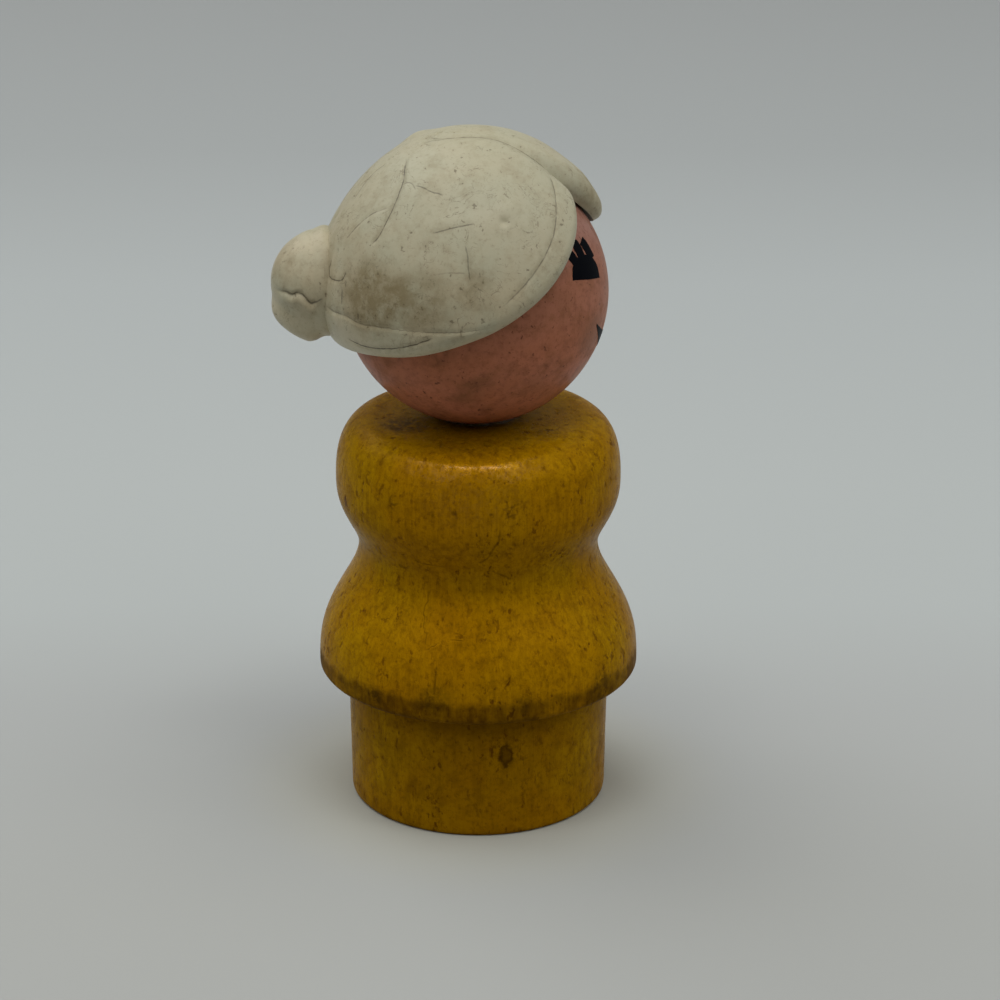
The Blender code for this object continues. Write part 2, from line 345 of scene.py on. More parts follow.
def mark_values(points, outward, marks):
    """How far beside the nearest marked line points lie, in its half widths, and how
    strongly they are marked; a mark is a line, its half width and its strength."""
    nearest = np.full(len(points), np.inf)
    beside, held = np.zeros(len(points)), np.zeros(len(points))
    for line, half_width, strength in marks:
        side, along = beside_line(points, outward, line)
        far = np.abs(side)
        nearer = far < nearest
        nearest[nearer] = far[nearer]
        beside[nearer] = side[nearer] / half_width
        held[nearer] = (strength * ends_faded(along) * smooth((0.6 - far) / 0.25))[nearer]
    return np.clip(beside, -6, 6), held


def mesh_points(obj, kind="co"):
    """A mesh's points in millimetres, or its normals."""
    flat = np.zeros(len(obj.data.vertices) * 3, np.float32)
    obj.data.vertices.foreach_get(kind, flat)
    values = flat.reshape(-1, 3).astype(float)
    return values / MM if kind == "co" else values


def store_number(obj, name, values):
    """Keep one number on each point of a mesh."""
    attribute = obj.data.attributes.new(name, "FLOAT", "POINT")
    attribute.data.foreach_set("value", values.astype(np.float32))


def store_marks(obj, name, beside, held):
    """Keep how thin lines mark a mesh, under a name that Finish.marked is given."""
    store_number(obj, name + "_beside", beside)
    store_number(obj, name + "_held", held)


# Turned pieces

def turning_tree():
    """Geometry nodes that turn a profile line round Z and roughen it a little."""
    tree = bpy.data.node_groups.new("turning", "GeometryNodeTree")
    face = tree.interface
    face.new_socket("Geometry", in_out="INPUT", socket_type="NodeSocketGeometry")
    for name, kind in (
            ("Segments", "NodeSocketInt"), ("Wave Height", "NodeSocketFloat"),
            ("Wave Scale", "NodeSocketFloat"), ("Seed", "NodeSocketFloat"),
            ("Material", "NodeSocketMaterial")):
        face.new_socket(name, in_out="INPUT", socket_type=kind)
    face.new_socket("Geometry", in_out="OUTPUT", socket_type="NodeSocketGeometry")

    def make(kind, settings=None, inputs=None):
        node = tree.nodes.new(kind)
        for key, value in (settings or {}).items():
            setattr(node, key, value)
        for key, value in (inputs or {}).items():
            if isinstance(value, bpy.types.NodeSocket):
                tree.links.new(value, node.inputs[key])
            else:
                node.inputs[key].default_value = value
        return node

    def maths(operation, first, second=0.0):
        node = make("ShaderNodeMath", {"operation": operation}, {0: first, 1: second})
        return node.outputs[0]

    given = make("NodeGroupInput")
    profile = given.outputs["Geometry"]
    size = make("GeometryNodeAttributeDomainSize", None, {"Geometry": profile})
    rings = size.outputs["Point Count"]
    columns = maths("ADD", given.outputs["Segments"], 1.0)
    grid = make("GeometryNodeMeshGrid", None, {
        "Size X": 1.0, "Size Y": 1.0, "Vertices X": columns, "Vertices Y": rings})
    place = make("GeometryNodeInputPosition").outputs[0]
    parts = make("ShaderNodeSeparateXYZ", None, {0: place}).outputs
    turn = maths("MULTIPLY", maths("ADD", parts["X"], 0.5), 2 * math.pi)
    row = maths("MULTIPLY", maths("ADD", parts["Y"], 0.5), maths("SUBTRACT", rings, 1.0))
    nearest = maths("ROUND", row)
    point = make(
        "GeometryNodeSampleIndex", {"data_type": "FLOAT_VECTOR", "domain": "POINT"},
        {"Geometry": profile, "Value": place, "Index": nearest})
    there = make("ShaderNodeSeparateXYZ", None, {0: point.outputs[0]}).outputs
    around = make("ShaderNodeCombineXYZ", None, {
        "X": maths("MULTIPLY", there["X"], maths("COSINE", turn)),
        "Y": maths("MULTIPLY", there["X"], maths("SINE", turn)),
        "Z": there["Z"]})
    turned = make("GeometryNodeSetPosition", None, {
        "Geometry": grid.outputs["Mesh"], "Position": around.outputs[0]})
    closed = make("GeometryNodeMergeByDistance", None, {
        "Geometry": turned.outputs[0], "Distance": MERGE_DISTANCE})
    wave = make("ShaderNodeTexNoise", {"noise_dimensions": "4D"}, {
        "Vector": make("GeometryNodeInputPosition").outputs[0],
        "W": given.outputs["Seed"], "Scale": given.outputs["Wave Scale"], "Detail": 2.0})
    height = maths(
        "MULTIPLY", maths("SUBTRACT", wave.outputs[0], 0.5), given.outputs["Wave Height"])
    normal = make("GeometryNodeInputNormal").outputs[0]
    push = make("ShaderNodeVectorMath", {"operation": "SCALE"}, {0: normal, "Scale": height})
    waved = make("GeometryNodeSetPosition", None, {
        "Geometry": closed.outputs[0], "Offset": push.outputs[0]})
    real = make("GeometryNodeRealizeInstances", None, {"Geometry": waved.outputs[0]})
    painted = make("GeometryNodeSetMaterial", None, {
        "Geometry": real.outputs[0], "Material": given.outputs["Material"]})
    end = make("NodeGroupOutput")
    tree.links.new(painted.outputs[0], end.inputs["Geometry"])
    return tree


def turn_profile(name, tree, profile, segments, wave_height, wave_scale, seed, material):
    """A turned piece from (radius, height) points, as a plain mesh."""
    count = len(profile)
    mesh = bpy.data.meshes.new(name)
    mesh.from_pydata(
        [(radius, 0.0, height) for radius, height in profile],
        [(k, k + 1) for k in range(count - 1)], [])
    obj = bpy.data.objects.new(name, mesh)
    bpy.context.scene.collection.objects.link(obj)
    modifier = obj.modifiers.new("turning", "NODES")
    modifier.node_group = tree
    values = {
        "Segments": segments, "Wave Height": wave_height, "Wave Scale": wave_scale,
        "Seed": seed, "Material": material}
    for item in tree.interface.items_tree:
        if item.item_type == "SOCKET" and item.in_out == "INPUT" and item.name in values:
            modifier[item.identifier] = values[item.name]
    apply_modifiers(obj)
    face_outward(obj, merge=MERGE_DISTANCE)
    obj.data.shade_smooth()
    obj.data.set_sharp_from_angle(angle=SHARP_ANGLE)
    return obj


def elliptic_arc(start, end, steps, rises_first, fullness=2.0):
    """Points of a quarter superellipse after start and up to end, in (radius, height)."""
    points = []
    for step in range(1, steps + 1):
        angle = math.pi / 2 * step / steps
        near = math.sin(angle) ** (2 / fullness)
        far = 1 - max(math.cos(angle), 0.0) ** (2 / fullness)
        across, up = (far, near) if rises_first else (near, far)
        points.append((
            start[0] + (end[0] - start[0]) * across,
            start[1] + (end[1] - start[1]) * up))
    return points


def eased(start, end, steps, skew):
    """Points after start and up to end whose radius eases level into both of them."""
    points = []
    for step in range(1, steps + 1):
        share = step / steps
        ease = 0.5 - 0.5 * math.cos(math.pi * share ** skew)
        points.append((
            start[0] + (end[0] - start[0]) * ease,
            start[1] + (end[1] - start[1]) * share))
    return points


def straight(start, end, steps):
    """Even points after start and up to end."""
    return [(
        start[0] + (end[0] - start[0]) * step / steps,
        start[1] + (end[1] - start[1]) * step / steps) for step in range(1, steps + 1)]


# Body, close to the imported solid, with finer curves
HEM_RADIUS = BODY_HIGH.x + 0.1 * MM
SHOULDER_HEIGHT = BODY_HIGH.z
BASE_RADIUS = 11.1 * MM
BASE_EDGE = 0.4 * MM
BASE_TOP_RADIUS = 11.3 * MM
HEM_HEIGHT = 11.2 * MM
HEM_EDGE_HEIGHT = 1.0 * MM
WAIST = (10.3 * MM, 23.1 * MM)
CHEST = (12.2 * MM, 29.2 * MM)
SHOULDER_FLAT_RADIUS = 8.3 * MM
CURVE_SKEW = 1.36
CHEST_SKEW = 1.3
HEM_FULLNESS = 2.1
SHOULDER_FULLNESS = 2.6
PIN_BORE_RADIUS = 1.3 * MM
PIN_BORE_FOOT = 21.8 * MM
# Columns of a turned piece, then the height, scale and seed of its waves
BODY_TURNING = (320, 0.06 * MM, 260.0, 1.0)
BALL_TURNING = (256, 0.04 * MM, 220.0, 5.0)


def body_profile():
    """The body's outline from the middle of its underside to the foot of its bore."""
    hem = (HEM_RADIUS, HEM_HEIGHT + HEM_EDGE_HEIGHT)
    shoulder = (SHOULDER_FLAT_RADIUS, SHOULDER_HEIGHT)
    profile = [(0.0, 0.0)]
    profile += straight(profile[-1], (BASE_RADIUS - BASE_EDGE, 0.0), 10)
    profile += elliptic_arc(profile[-1], (BASE_RADIUS, BASE_EDGE), 5, False)
    profile += straight(profile[-1], (BASE_TOP_RADIUS, HEM_HEIGHT), 26)
    profile += elliptic_arc(profile[-1], hem, 14, False, HEM_FULLNESS)
    profile += eased(hem, WAIST, 36, CURVE_SKEW)
    rising = eased(CHEST, WAIST, 24, CHEST_SKEW)
    profile += rising[-2::-1] + [CHEST]
    profile += elliptic_arc(CHEST, shoulder, 26, True, SHOULDER_FULLNESS)
    seat_radius = BALL_RADIUS + SEAT_GAP
    drop = BALL_CENTRE.z - SHOULDER_HEIGHT
    dish_rim = math.sqrt(seat_radius ** 2 - drop ** 2)
    profile += straight(profile[-1], (dish_rim, SHOULDER_HEIGHT), 8)
    for step in range(1, 7):
        radius = dish_rim + (PIN_BORE_RADIUS - dish_rim) * step / 6
        height = BALL_CENTRE.z - math.sqrt(seat_radius ** 2 - radius ** 2)
        profile.append((radius, height))
    profile += straight(profile[-1], (PIN_BORE_RADIUS, PIN_BORE_FOOT), 6)
    profile.append((0.0, PIN_BORE_FOOT))
    return profile


BALL_BORE_RADIUS = 1.6 * MM
BALL_STEPS = 120


def ball_profile():
    """The ball's outline round its own centre, with the bore that the pin passes."""
    start = math.asin(BALL_BORE_RADIUS / BALL_RADIUS)
    profile = []
    for step in range(BALL_STEPS + 1):
        angle = start + (math.pi - 2 * start) * step / BALL_STEPS
        profile.append((
            BALL_RADIUS * math.sin(angle), -BALL_RADIUS * math.cos(angle)))
    return profile + straight(profile[-1], profile[0], 6)


# Hair

CROWN_WALL = 2.5
SIDE_WALL = 1.88
FRINGE_WALL = 1.78
NAPE_WALL = 1.2
LIP_WALL = 0.42
RIM_ROLL = 1.3
FRINGE_ROLL = 3.2
PARTING_DEPTH = 0.75
PARTING_DEPTH_BEHIND = 0.12
PARTING_WIDTH = 0.6
WHORL = (180.0, 76.0)
PARTING_TURN = -24.0
PARTING_LINE = (
    (172, 71.5), (-156, 77.7), (-108.6, 82.5), (-48, 79), (-33, 68.5),
    (-28.5, 62.5), (-26, 58), (-24, 54))
RIGHT_HAIRLINE = (
    (-24.0, 54.0), (-31.0, 43.8), (-38.0, 36.2), (-48.0, 27.2), (-64.0, 14.6), (-80.0, 4.6),
    (-91.0, -0.7), (-115.0, -9.3), (-143.0, -14.6), (-180.0, -20.0))
LEFT_HAIRLINE = (
    (-24.0, 54.0), (-11.0, 45.8), (-2.0, 37.0), (8.0, 28.6), (35.0, 20.5), (65.0, 11.0),
    (91.0, 0.0), (115.0, -9.0), (143.0, -14.0), (180.0, -20.0))
COLUMNS_BUNCHED = 0.3
CROWN_ROWS = 118
RIM_ROWS = 34
RIM_BAND = 3.2
RIM_COLUMNS = 640
LINING_COLUMNS = (RIM_COLUMNS, 320, 160, 160, 160, 160, 160, 160)
MID_SURFACE = BALL_RADIUS / MM + SIDE_WALL
MARK_HALF_WIDTH = 0.075
PARTING_DIRT_AND_SHADE = 0.6

# Lines pressed or scratched into the hair: their points on the head as degrees turned
# and degrees up, their depth and half width in millimetres, the grime and painted crease
# shade laid along them, and how far the hair on their left stands up
HAIR_LINES = (
    (((-36, 57), (-42.1, 52.1), (-51.5, 42.2), (-58.1, 34.2), (-67.4, 25.1),
      (-75.8, 17.9), (-84, 11.5)), 0.05, 0.18, 0.6, 0.02),
    (((-82.8, 5.4), (-98.5, 3.3), (-108, 2.7), (-128.1, 1.9), (-137.9, 1.2),
      (-144.5, 2.1), (-153.7, 1.4), (-160, 1.9)), 0.07, 0.18, 0.5, 0.05),
    (((-107.3, 1), (-110.9, -0.8), (-116.1, -3.1), (-124.2, -5.6), (-132.6, -7.1),
      (-139.6, -7.5), (-147, -6.8)), 0.06, 0.17, 0.9, 0.0),
    (((-158, 63.3), (-148.5, 59.2), (-140.3, 54), (-136.5, 44.4), (-137.1, 33.2),
      (-139.2, 29.1)), 0.11, 0.17, 0.8, 0.0),
    (((-171.9, 57.3), (-173.8, 50.4), (-168.6, 39.2)), 0.05, 0.17, 0.5, 0.0),
    (((-130, 54), (-124, 53.8), (-118, 52.6), (-110.3, 52.1)), 0.02, 0.17, 0.6, 0.0),
    (((-112, 37.1), (-102.1, 39.9), (-92.9, 41.6)), 0.02, 0.17, 0.6, 0.0),
    (((-161.4, 19.5), (-160, 12.5), (-150.5, 13.5), (-148.2, 17.5)), 0.05, 0.17, 0.8, 0.0),
    (((-148.8, 10.9), (-147.8, 5.6)), 0.04, 0.17, 0.8, 0.0),
    (((-138.4, 5), (-138.3, 2.2)), 0.03, 0.17, 0.8, 0.0),
    (((-97, 34), (-95.8, 29.5), (-95.4, 25), (-94.6, 21)), 0.0, 0.17, 0.5, 0.0),
    (((-164.9, 71), (-164, 74.1), (-153.6, 77)), 0.04, 0.17, 0.6, 0.0),
    (((152, -10), (140, -8.6), (124, -5.6), (112, -2)), 0.06, 0.17, 0.8, 0.0),
    (((142, 1), (121, 3.5), (104, 7), (88, 12.5), (74, 19), (60, 25)),
     0.09, 0.17, 0.6, 0.08),
    (((150, 58), (141, 47), (139, 36), (143, 28)), 0.09, 0.17, 0.7, 0.0),
    (((165, 50), (172, 41), (170, 30)), 0.03, 0.17, 0.6, 0.0))
# Lines that touch those above
HAIR_BRANCHES = (
    (((-139.1, 43.5), (-146.8, 39.7), (-152.3, 33.8), (-156.2, 27)), 0.05, 0.17, 0.6, 0.0),
    (((-108, 22.8), (-103.5, 23.8), (-98, 24), (-96.6, 24)), 0.0, 0.17, 0.3, 0.0),
    (((-139.5, 53.4), (-134, 54.6), (-128, 52.3)), 0.02, 0.17, 0.5, 0.0))


def head_directions(turn, latitude):
    """Unit vectors from the head's centre for degrees turned from the face and up."""
    around, up = np.radians(turn), np.radians(latitude)
    return np.stack([
        np.sin(around) * np.cos(up), -np.cos(around) * np.cos(up),
        np.sin(up) + 0 * around], axis=-1)


def head_point(turn, latitude):
    """The direction of one place on the head."""
    return head_directions(np.array(float(turn)), np.array(float(latitude)))


def soft_noise(points, size, seed):
    """Smooth noise from about -1 to 1 over features of a size, in millimetres."""
    shift = Vector((seed * 7.3, seed * 3.1, -seed * 5.7))
    return np.array([noise.noise(Vector(point) / size + shift) for point in points])


def head_curve(points):
    """A smooth line over the head's surface through places on it, in millimetres."""
    turns, latitudes = np.array(points, float).T
    return curved(head_directions(turns, latitudes)) * MID_SURFACE


def hair_relief(directions):
    """How far pressed lines and the parting raise or lower the hair, in millimetres."""
    surface = directions * MID_SURFACE
    relief = np.zeros(len(directions))
    for places, depth, half_width, _, step in HAIR_LINES + HAIR_BRANCHES:
        if depth:
            side, along = beside_line(surface, directions, head_curve(places))
            groove = depth * np.exp(-(side / half_width) ** 2)
            raised = step * smooth(side / 0.25) * np.exp(-(side / 1.1) ** 2)
            relief += (raised - groove) * ends_faded(along)
    side, along = beside_line(surface, directions, head_curve(PARTING_LINE))
    forward = smooth((along - 0.3) / 0.6)
    width = PARTING_WIDTH + np.where(side < 0, 0.8 * forward, 0.0)
    depth = PARTING_DEPTH_BEHIND + (PARTING_DEPTH - PARTING_DEPTH_BEHIND) * forward
    depth *= smooth(along / 0.08)
    return relief - depth * np.exp(-(np.abs(side) / width) ** 1.5)


# Soft places on the hair: degrees turned and up, height and size in millimetres
HAIR_SWELLS = (
    (-76.0, 46.6, 0.12, 0.8), (-79.4, 41.9, -0.16, 0.32), (141.0, 64.5, 0.34, 1.2),
    (19.0, 54.0, -0.10, 1.6), (9.8, 39.5, -0.16, 1.4))


def bump_at(directions, turn, latitude, size):
    """A soft round bump of height 1 at a place on the head."""
    far = np.linalg.norm(directions - head_point(turn, latitude), axis=1) * MID_SURFACE
    return np.exp(-(far / size) ** 2)


def hair_wall(directions, edge, turns):
    """Wall thickness of the cap in millimetres, for a distance from its edge."""
    latitude = np.degrees(np.arcsin(directions[:, 2]))
    wall = SIDE_WALL + (CROWN_WALL - SIDE_WALL) * smooth((latitude - 30) / 60)
    fringe = smooth((turns + 32) / 14) * smooth((75 - turns) / 40)
    wall += (FRINGE_WALL - SIDE_WALL) * fringe
    wall += (NAPE_WALL - SIDE_WALL) * smooth(directions[:, 1] - 0.1) * smooth(-latitude / 16)
    surface = directions * MID_SURFACE
    wall += 0.05 * soft_noise(surface, 5.0, 1) + 0.015 * soft_noise(surface, 1.6, 2)
    comb = np.arctan2(directions[:, 0], directions[:, 2])
    strands = np.stack([6 * np.cos(comb), 6 * np.sin(comb), directions[:, 1]], axis=-1)
    wall += 0.06 * soft_noise(strands, 1.0, 3) * smooth((edge - 1.5) / 2)
    wall += hair_relief(directions)
    for turn, latitude, height, size in HAIR_SWELLS:
        wall += height * bump_at(directions, turn, latitude, size)
    roll = RIM_ROLL + (FRINGE_ROLL - RIM_ROLL) * fringe
    inward = 1 - np.clip(edge / roll, 0, 1)
    return LIP_WALL + (wall - LIP_WALL) * np.sqrt(1 - inward ** 2)


def hair_ring(count, share, outside):
    """One ring of the cap: share is 0 at the whorl, 1 at the rim's band and 2 at the edge."""
    place = np.arange(count) / count
    bunched = place - COLUMNS_BUNCHED * np.sin(2 * np.pi * place) / (2 * np.pi)
    turns = PARTING_TURN + 360 * bunched
    turns = np.where(turns > 180, turns - 360, turns)
    latitudes = np.where(
        turns >= PARTING_TURN, through_points(LEFT_HAIRLINE, turns),
        through_points(RIGHT_HAIRLINE, turns))
    ends, whorl = head_directions(turns, latitudes), head_point(*WHORL)
    angles = np.arccos(ends @ whorl)
    lengths = angles * HAIR_SEAT
    if share <= 1:
        edge = RIM_BAND + (lengths - RIM_BAND) * (1 - share)
    else:
        edge = RIM_BAND * (2 - share) ** 1.5 + 0 * lengths
    part = 1 - edge / lengths
    directions = (
        whorl * (np.sin((1 - part) * angles) / np.sin(angles))[:, None]
        + ends * (np.sin(part * angles) / np.sin(angles))[:, None])
    reach = HAIR_SEAT + (hair_wall(directions, edge, turns) if outside else 0 * edge)
    return HEAD_MIDDLE + directions * reach[:, None]


def stitch(rings):
    """Faces between rings in order, each as fine as its neighbour or twice as fine."""
    faces = []
    start = 0
    for ring, following in zip(rings, rings[1:]):
        n, m = len(ring), len(following)
        after = start + n
        if n == m:
            for k in range(n):
                faces.append((start + k, start + (k + 1) % n, after + (k + 1) % n, after + k))
        else:
            few, many, coarse, fine = (n, m, start, after) if n < m else (m, n, after, start)
            for k in range(few):
                a, b = coarse + k, coarse + (k + 1) % few
                c, d, e = (fine + (2 * k + i) % many for i in range(3))
                faces += [(a, c, d), (a, d, b), (b, d, e)]
        start = after
    total = start + len(rings[-1])
    for k in range(len(rings[0])):
        faces.append((total, (k + 1) % len(rings[0]), k))
    for k in range(len(rings[-1])):
        faces.append((total + 1, start + k, start + (k + 1) % len(rings[-1])))
    return faces


def closed_skin(name, rings, first_pole, last_pole):
    """An object from rings of points and a pole at each end, in millimetres."""
    points = np.concatenate([*rings, first_pole[None], last_pole[None]]) * MM
    obj = add_mesh(name, points, stitch(rings))
    face_outward(obj)
    return obj


def make_cap():
    """The cap, from the whorl over its rim and back inside to the whorl."""
    rings = []
    for row in range(1, CROWN_ROWS + 1):
        share = row / CROWN_ROWS
        halvings = 2 if share < 0.18 else 1 if share < 0.42 else 0
        count = RIM_COLUMNS >> halvings
        rings.append(hair_ring(count, share, True))
    for row in range(1, RIM_ROWS + 1):
        rings.append(hair_ring(RIM_COLUMNS, 1 + row / RIM_ROWS, True))
    for row, count in enumerate(LINING_COLUMNS):
        rings.append(hair_ring(count, 2 * (1 - row / len(LINING_COLUMNS)), False))
    whorl = head_point(*WHORL)
    crown = hair_wall(whorl[None], np.array([HAIR_SEAT]), np.array([180.0]))[0]
    return closed_skin(
        "hair_cap", rings, HEAD_MIDDLE + whorl * (HAIR_SEAT + crown),
        HEAD_MIDDLE + whorl * HAIR_SEAT)


BUN_RADIUS = 4.55
BUN_ROOT_RADIUS = 4.5
BUN_CENTRE = HEAD_MIDDLE + np.array([0.0, 12.6, 0.93])
BUN_REACH = 6.2
BUN_COLLAR_WIDTH = 0.75
BUN_LOBE = 0.6
BUN_LOBE_DIRECTION = np.array([0.0, 0.45, -0.893])
BUN_FOLD = (
    (-0.6, -0.05), (0.2, 0.06), (0.8, -0.28), (1.25, -0.44), (1.9, 0.22),
    (2.35, 0.34), (2.8, 0.1), (3.3, 0.2), (4.0, 0.1), (5.5, 0.2))
BUN_FOLD_DEPTH = 0.22
BUN_LIP_HEIGHT = 0.16
FOLD_HALF_WIDTH = 0.12
FOLD_DIRT_AND_SHADE = 0.6
BUN_COLUMNS = 176
BUN_DOME_ROWS = 48


def above_fold(local):
    """Height over the bun's fold, in millimetres."""
    return local[:, 2] - through_points(BUN_FOLD, np.clip(local[:, 1], -0.5, 5.4))


def fold_fade(local):
    """1 along the bun's fold, easing to 0 toward the bun's tip."""
    return smooth((4.4 - local[:, 1]) / 1.6)


def make_bun():
    """The bun: a root inside the cap's wall, a soft collar and a dome with a fold."""
    root = HAIR_SEAT + SIDE_WALL * 0.4
    back = BUN_CENTRE[1] - HEAD_MIDDLE[1]
    profile = [(
        BUN_ROOT_RADIUS * step / 6,
        math.sqrt(root ** 2 - (BUN_ROOT_RADIUS * step / 6) ** 2) - back)
        for step in range(1, 7)]
    profile += [(BUN_ROOT_RADIUS, y) for y in np.linspace(
        profile[-1][1], BUN_COLLAR_WIDTH, 16)[1:]]
    start = math.asin(BUN_COLLAR_WIDTH / BUN_RADIUS)
    for step in range(1, BUN_DOME_ROWS):
        angle = start + (math.pi / 2 - start) * step / BUN_DOME_ROWS
        profile.append((BUN_RADIUS * math.cos(angle), BUN_RADIUS * math.sin(angle)))
    around = 2 * np.pi * np.arange(BUN_COLUMNS) / BUN_COLUMNS
    rings = []
    for radius, y in profile:
        ring = np.stack([
            radius * np.cos(around), y + 0 * around, radius * np.sin(around)], axis=-1)
        if y > -1:
            ring = bun_swell(ring)
        rings.append(ring + BUN_CENTRE)
    tip = bun_swell(np.array([[0.0, BUN_RADIUS, 0.0]]))[0] + BUN_CENTRE
    return closed_skin("bun", rings, BUN_CENTRE + np.array([0.0, root - back, 0.0]), tip)


def bun_swell(local):
    """Points of the bun's plain form pushed out to its collar, lower lobe and fold."""
    length = np.linalg.norm(local, axis=1)
    normal = local / length[:, None]
    side = local * np.array([1.0, 0.0, 1.0])
    outward = side / np.maximum(np.linalg.norm(side, axis=1), 1e-6)[:, None]
    lobe = smooth((normal @ BUN_LOBE_DIRECTION - 0.60) / 0.3)
    collar = (
        (0.14 + 0.14 * smooth(normal[:, 2])) * np.exp(-(local[:, 1] / 0.7) ** 2)
        - 0.05 * np.exp(-((local[:, 1] - BUN_COLLAR_WIDTH - 0.15) / 0.35) ** 2)) * (1 - lobe)
    height = above_fold(local)
    dome = smooth((local[:, 1] - BUN_COLLAR_WIDTH + 0.1) / 0.5)
    cut = np.where(
        height > 0, np.exp(-(height / 0.16) ** 2), np.exp(-(height / 0.20) ** 2))
    lip = np.exp(-((height + 0.65) / 0.45) ** 2)
    swell = BUN_LOBE * lobe * smooth((local[:, 1] + 0.1) / 1.5)
    swell += dome * (
        fold_fade(local) * (BUN_LIP_HEIGHT * lip - BUN_FOLD_DEPTH * cut)
        + 0.05 * soft_noise(local, 2.2, 5))
    return local + normal * swell[:, None] + outward * collar[:, None]


def store_hair_dirt_and_shade(hair):
    """Keep the grime and painted shade of the hair's lines, the bun's fold and the parting on its
    points.
    """
    points = mesh_points(hair)
    local = points - BUN_CENTRE
    on_bun = (local[:, 1] > 0.02) & (np.linalg.norm(local, axis=1) < BUN_REACH)
    from_ball = points - HEAD_MIDDLE
    reach = np.linalg.norm(from_ball, axis=1)
    directions = from_ball / reach[:, None]
    surface = directions * MID_SURFACE
    outside = reach > MID_SURFACE - 1.0
    rows = [(head_curve(line), strength) for line, _, _, strength, _ in HAIR_LINES]
    rows.append((head_curve(PARTING_LINE), PARTING_DIRT_AND_SHADE))
    fold = FOLD_DIRT_AND_SHADE * fold_fade(local) * smooth((local[:, 1] - 0.1) / 0.4)
    # Thin dark lines of grime and painted crease shade along the lines, the parting and the bun's
    # fold
    beside, held = mark_values(
        surface, directions, [(line, MARK_HALF_WIDTH, strength) for line, strength in rows])
    fold_beside = np.clip(above_fold(local) / FOLD_HALF_WIDTH, -6, 6)
    store_marks(
        hair, "line", np.where(on_bun, fold_beside, beside),
        np.where(on_bun, fold, held * outside))
    beside, held = mark_values(surface, directions, [
        (head_curve(line), MARK_HALF_WIDTH, strength)
        for line, _, _, strength, _ in HAIR_BRANCHES])
    store_marks(hair, "branch", beside, held * outside * ~on_bun)
    # A soft band of grime and painted crease shade beside the lines
    soft = np.zeros(len(points))
    for line, strength in rows:
        side, along = beside_line(surface, directions, line)
        soft = np.maximum(soft, strength * ends_faded(along) * np.exp(-(side / 0.4) ** 2))
    # Painted shade just under the bun's fold, where its lip overhangs, with grime
    low = np.exp(-((above_fold(local) + 0.15) / 0.45) ** 2)
    store_number(hair, "dirt", np.where(on_bun, fold * low, soft * outside))


def make_hair(material):
    """The cap and the bun, joined to one closed skin that knows its grime and painted crease
    shade.
    """
    hair, bun = make_cap(), make_bun()
    union = hair.modifiers.new("bun", "BOOLEAN")
    union.operation = "UNION"
    union.solver = "EXACT"
    union.object = bun
    apply_modifiers(hair)
    bpy.data.objects.remove(bun, do_unlink=True)
    hair.data.shade_smooth()
    hair.data.set_sharp_from_angle(angle=SHARP_ANGLE)
    store_hair_dirt_and_shade(hair)
    dress(hair, "head", ["hair"], material)


# Painted face

EYE_TURN, EYE_LATITUDE = 33.0, 19.0
EYE_TILT = -12.7
EYE_HALF_WIDTH = 2.05
EYE_HEIGHT = 2.1
EYE_FOOT = -0.95
EYE_ROUNDNESS = 0.72
PAINT_THICKNESS = 0.03
PAINT_SINK = 0.10

# Each lash: its middle line's points and its half widths there, from its root; x runs
# from the eye's middle toward the middle of the face, in millimetres
LASHES = (
    ((1.30, 0.45, 0.60), (1.20, 1.22, 0.57), (1.04, 1.80, 0.57), (0.88, 2.22, 0.52)),
    ((-0.12, 0.85, 0.44), (-0.20, 1.40, 0.54), (-0.28, 2.00, 0.56), (-0.31, 2.52, 0.42)),
    ((-1.14, 0.60, 0.42), (-1.38, 1.10, 0.48), (-1.64, 1.60, 0.48), (-1.90, 2.02, 0.28)))
# The smile's reach in degrees turned, and how high its edges are at the corner and middle
SMILE_HALF_TURN = 28.0
SMILE_TOP = (-7.0, -17.0)
SMILE_BOTTOM = (-8.1, -26.0)


def film(first, second, place, lift, rows=8):
    """Points and faces of a thin closed film of paint between two outlines."""
    outlines = np.array([first, second], float)
    share = np.linspace(0, 1, rows + 1)[:, None, None]
    sheet = outlines[0] * (1 - share) + outlines[1] * share
    count = sheet.shape[1]
    flat = sheet.reshape(-1, 2)
    points = []
    for reach in (BALL_RADIUS / MM + lift, BALL_RADIUS / MM - PAINT_SINK):
        turns, latitudes = place(flat)
        points.append(HEAD_MIDDLE + head_directions(turns, latitudes) * reach)
    under = len(flat)
    faces = []
    for row in range(rows):
        for k in range(count - 1):
            a = row * count + k
            quad = (a, a + 1, a + count + 1, a + count)
            faces += [quad, tuple(under + corner for corner in reversed(quad))]
    rim = list(range(count))
    rim += [row * count + count - 1 for row in range(1, rows + 1)]
    rim += [rows * count + k for k in range(count - 2, -1, -1)]
    rim += [row * count for row in range(rows - 1, 0, -1)]
    for a, b in zip(rim, rim[1:] + rim[:1]):
        faces.append((a, under + a, under + b, b))
    return np.concatenate(points), faces


def ragged(outline, seed, depth=0.035):
    """An outline whose points stray a little, as printed paint does."""
    outline = np.array(outline, float)
    flat = np.concatenate([outline, np.zeros((len(outline), 1))], axis=1)
    stray = np.stack([
        soft_noise(flat, 0.32, seed), soft_noise(flat, 0.32, seed + 9)], axis=-1)
    return outline + depth * stray


